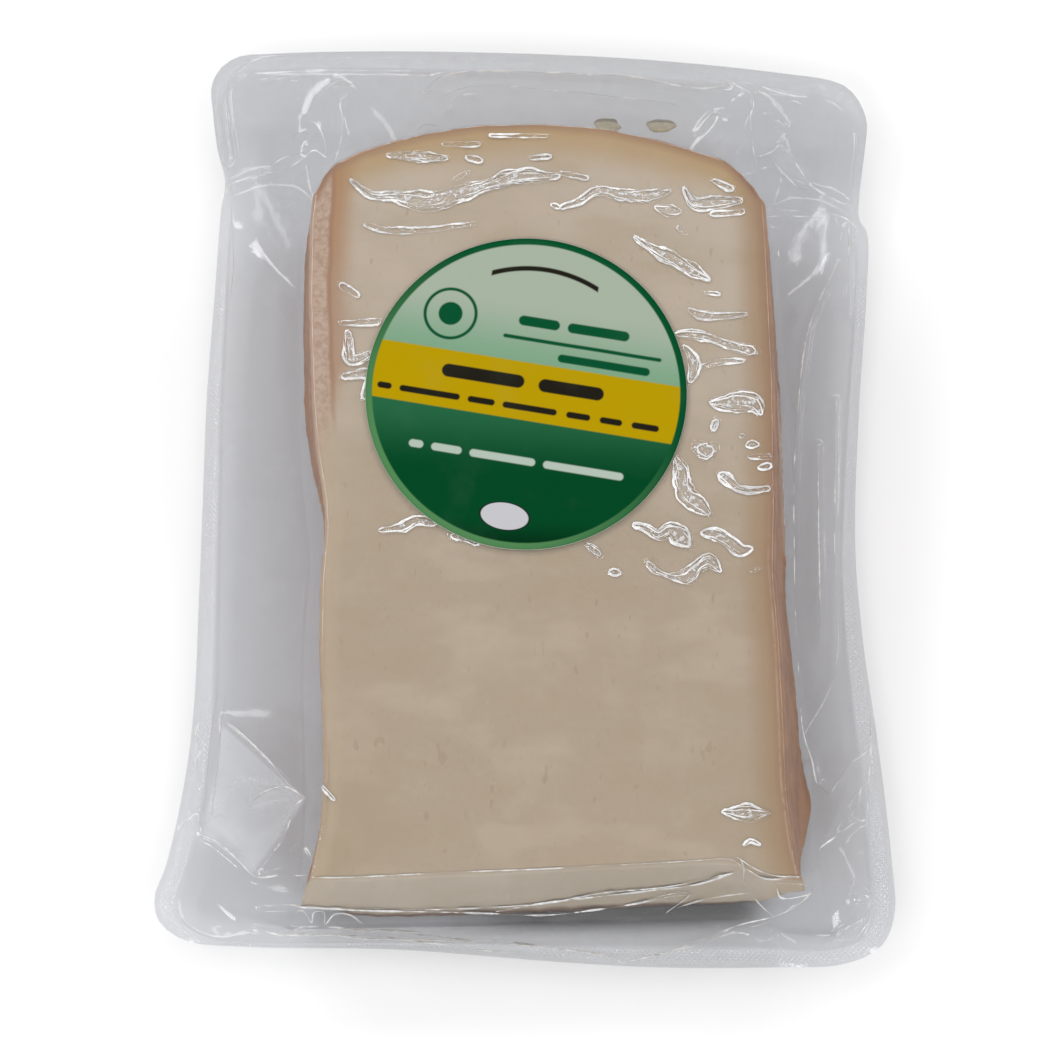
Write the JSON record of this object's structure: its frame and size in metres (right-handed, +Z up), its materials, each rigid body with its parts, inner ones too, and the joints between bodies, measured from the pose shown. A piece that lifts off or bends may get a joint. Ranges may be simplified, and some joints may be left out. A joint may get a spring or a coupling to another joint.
{
  "type": "vacuum-packed goat cheese slab",
  "caption": "Flat slab of goat cheese with a rind, sealed in a clear film pack with a welded edge, with a round paper label on its top face.",
  "frame": {"origin": "on the ground under the middle of the pack", "axes": "+Z up, +X across the pack, +Y along the pack from the cut front of the slab to its rind end"},
  "size_m": [0.117, 0.1553, 0.0314],
  "materials": {
    "clear_film": "clear glossy film over pale cheese",
    "label_paper": "coated paper, green and yellow fields"
  },
  "bodies": {
    "root": {"vacuum_pack": "clear_film", "label": "label_paper"}
  },
  "joints": []
}
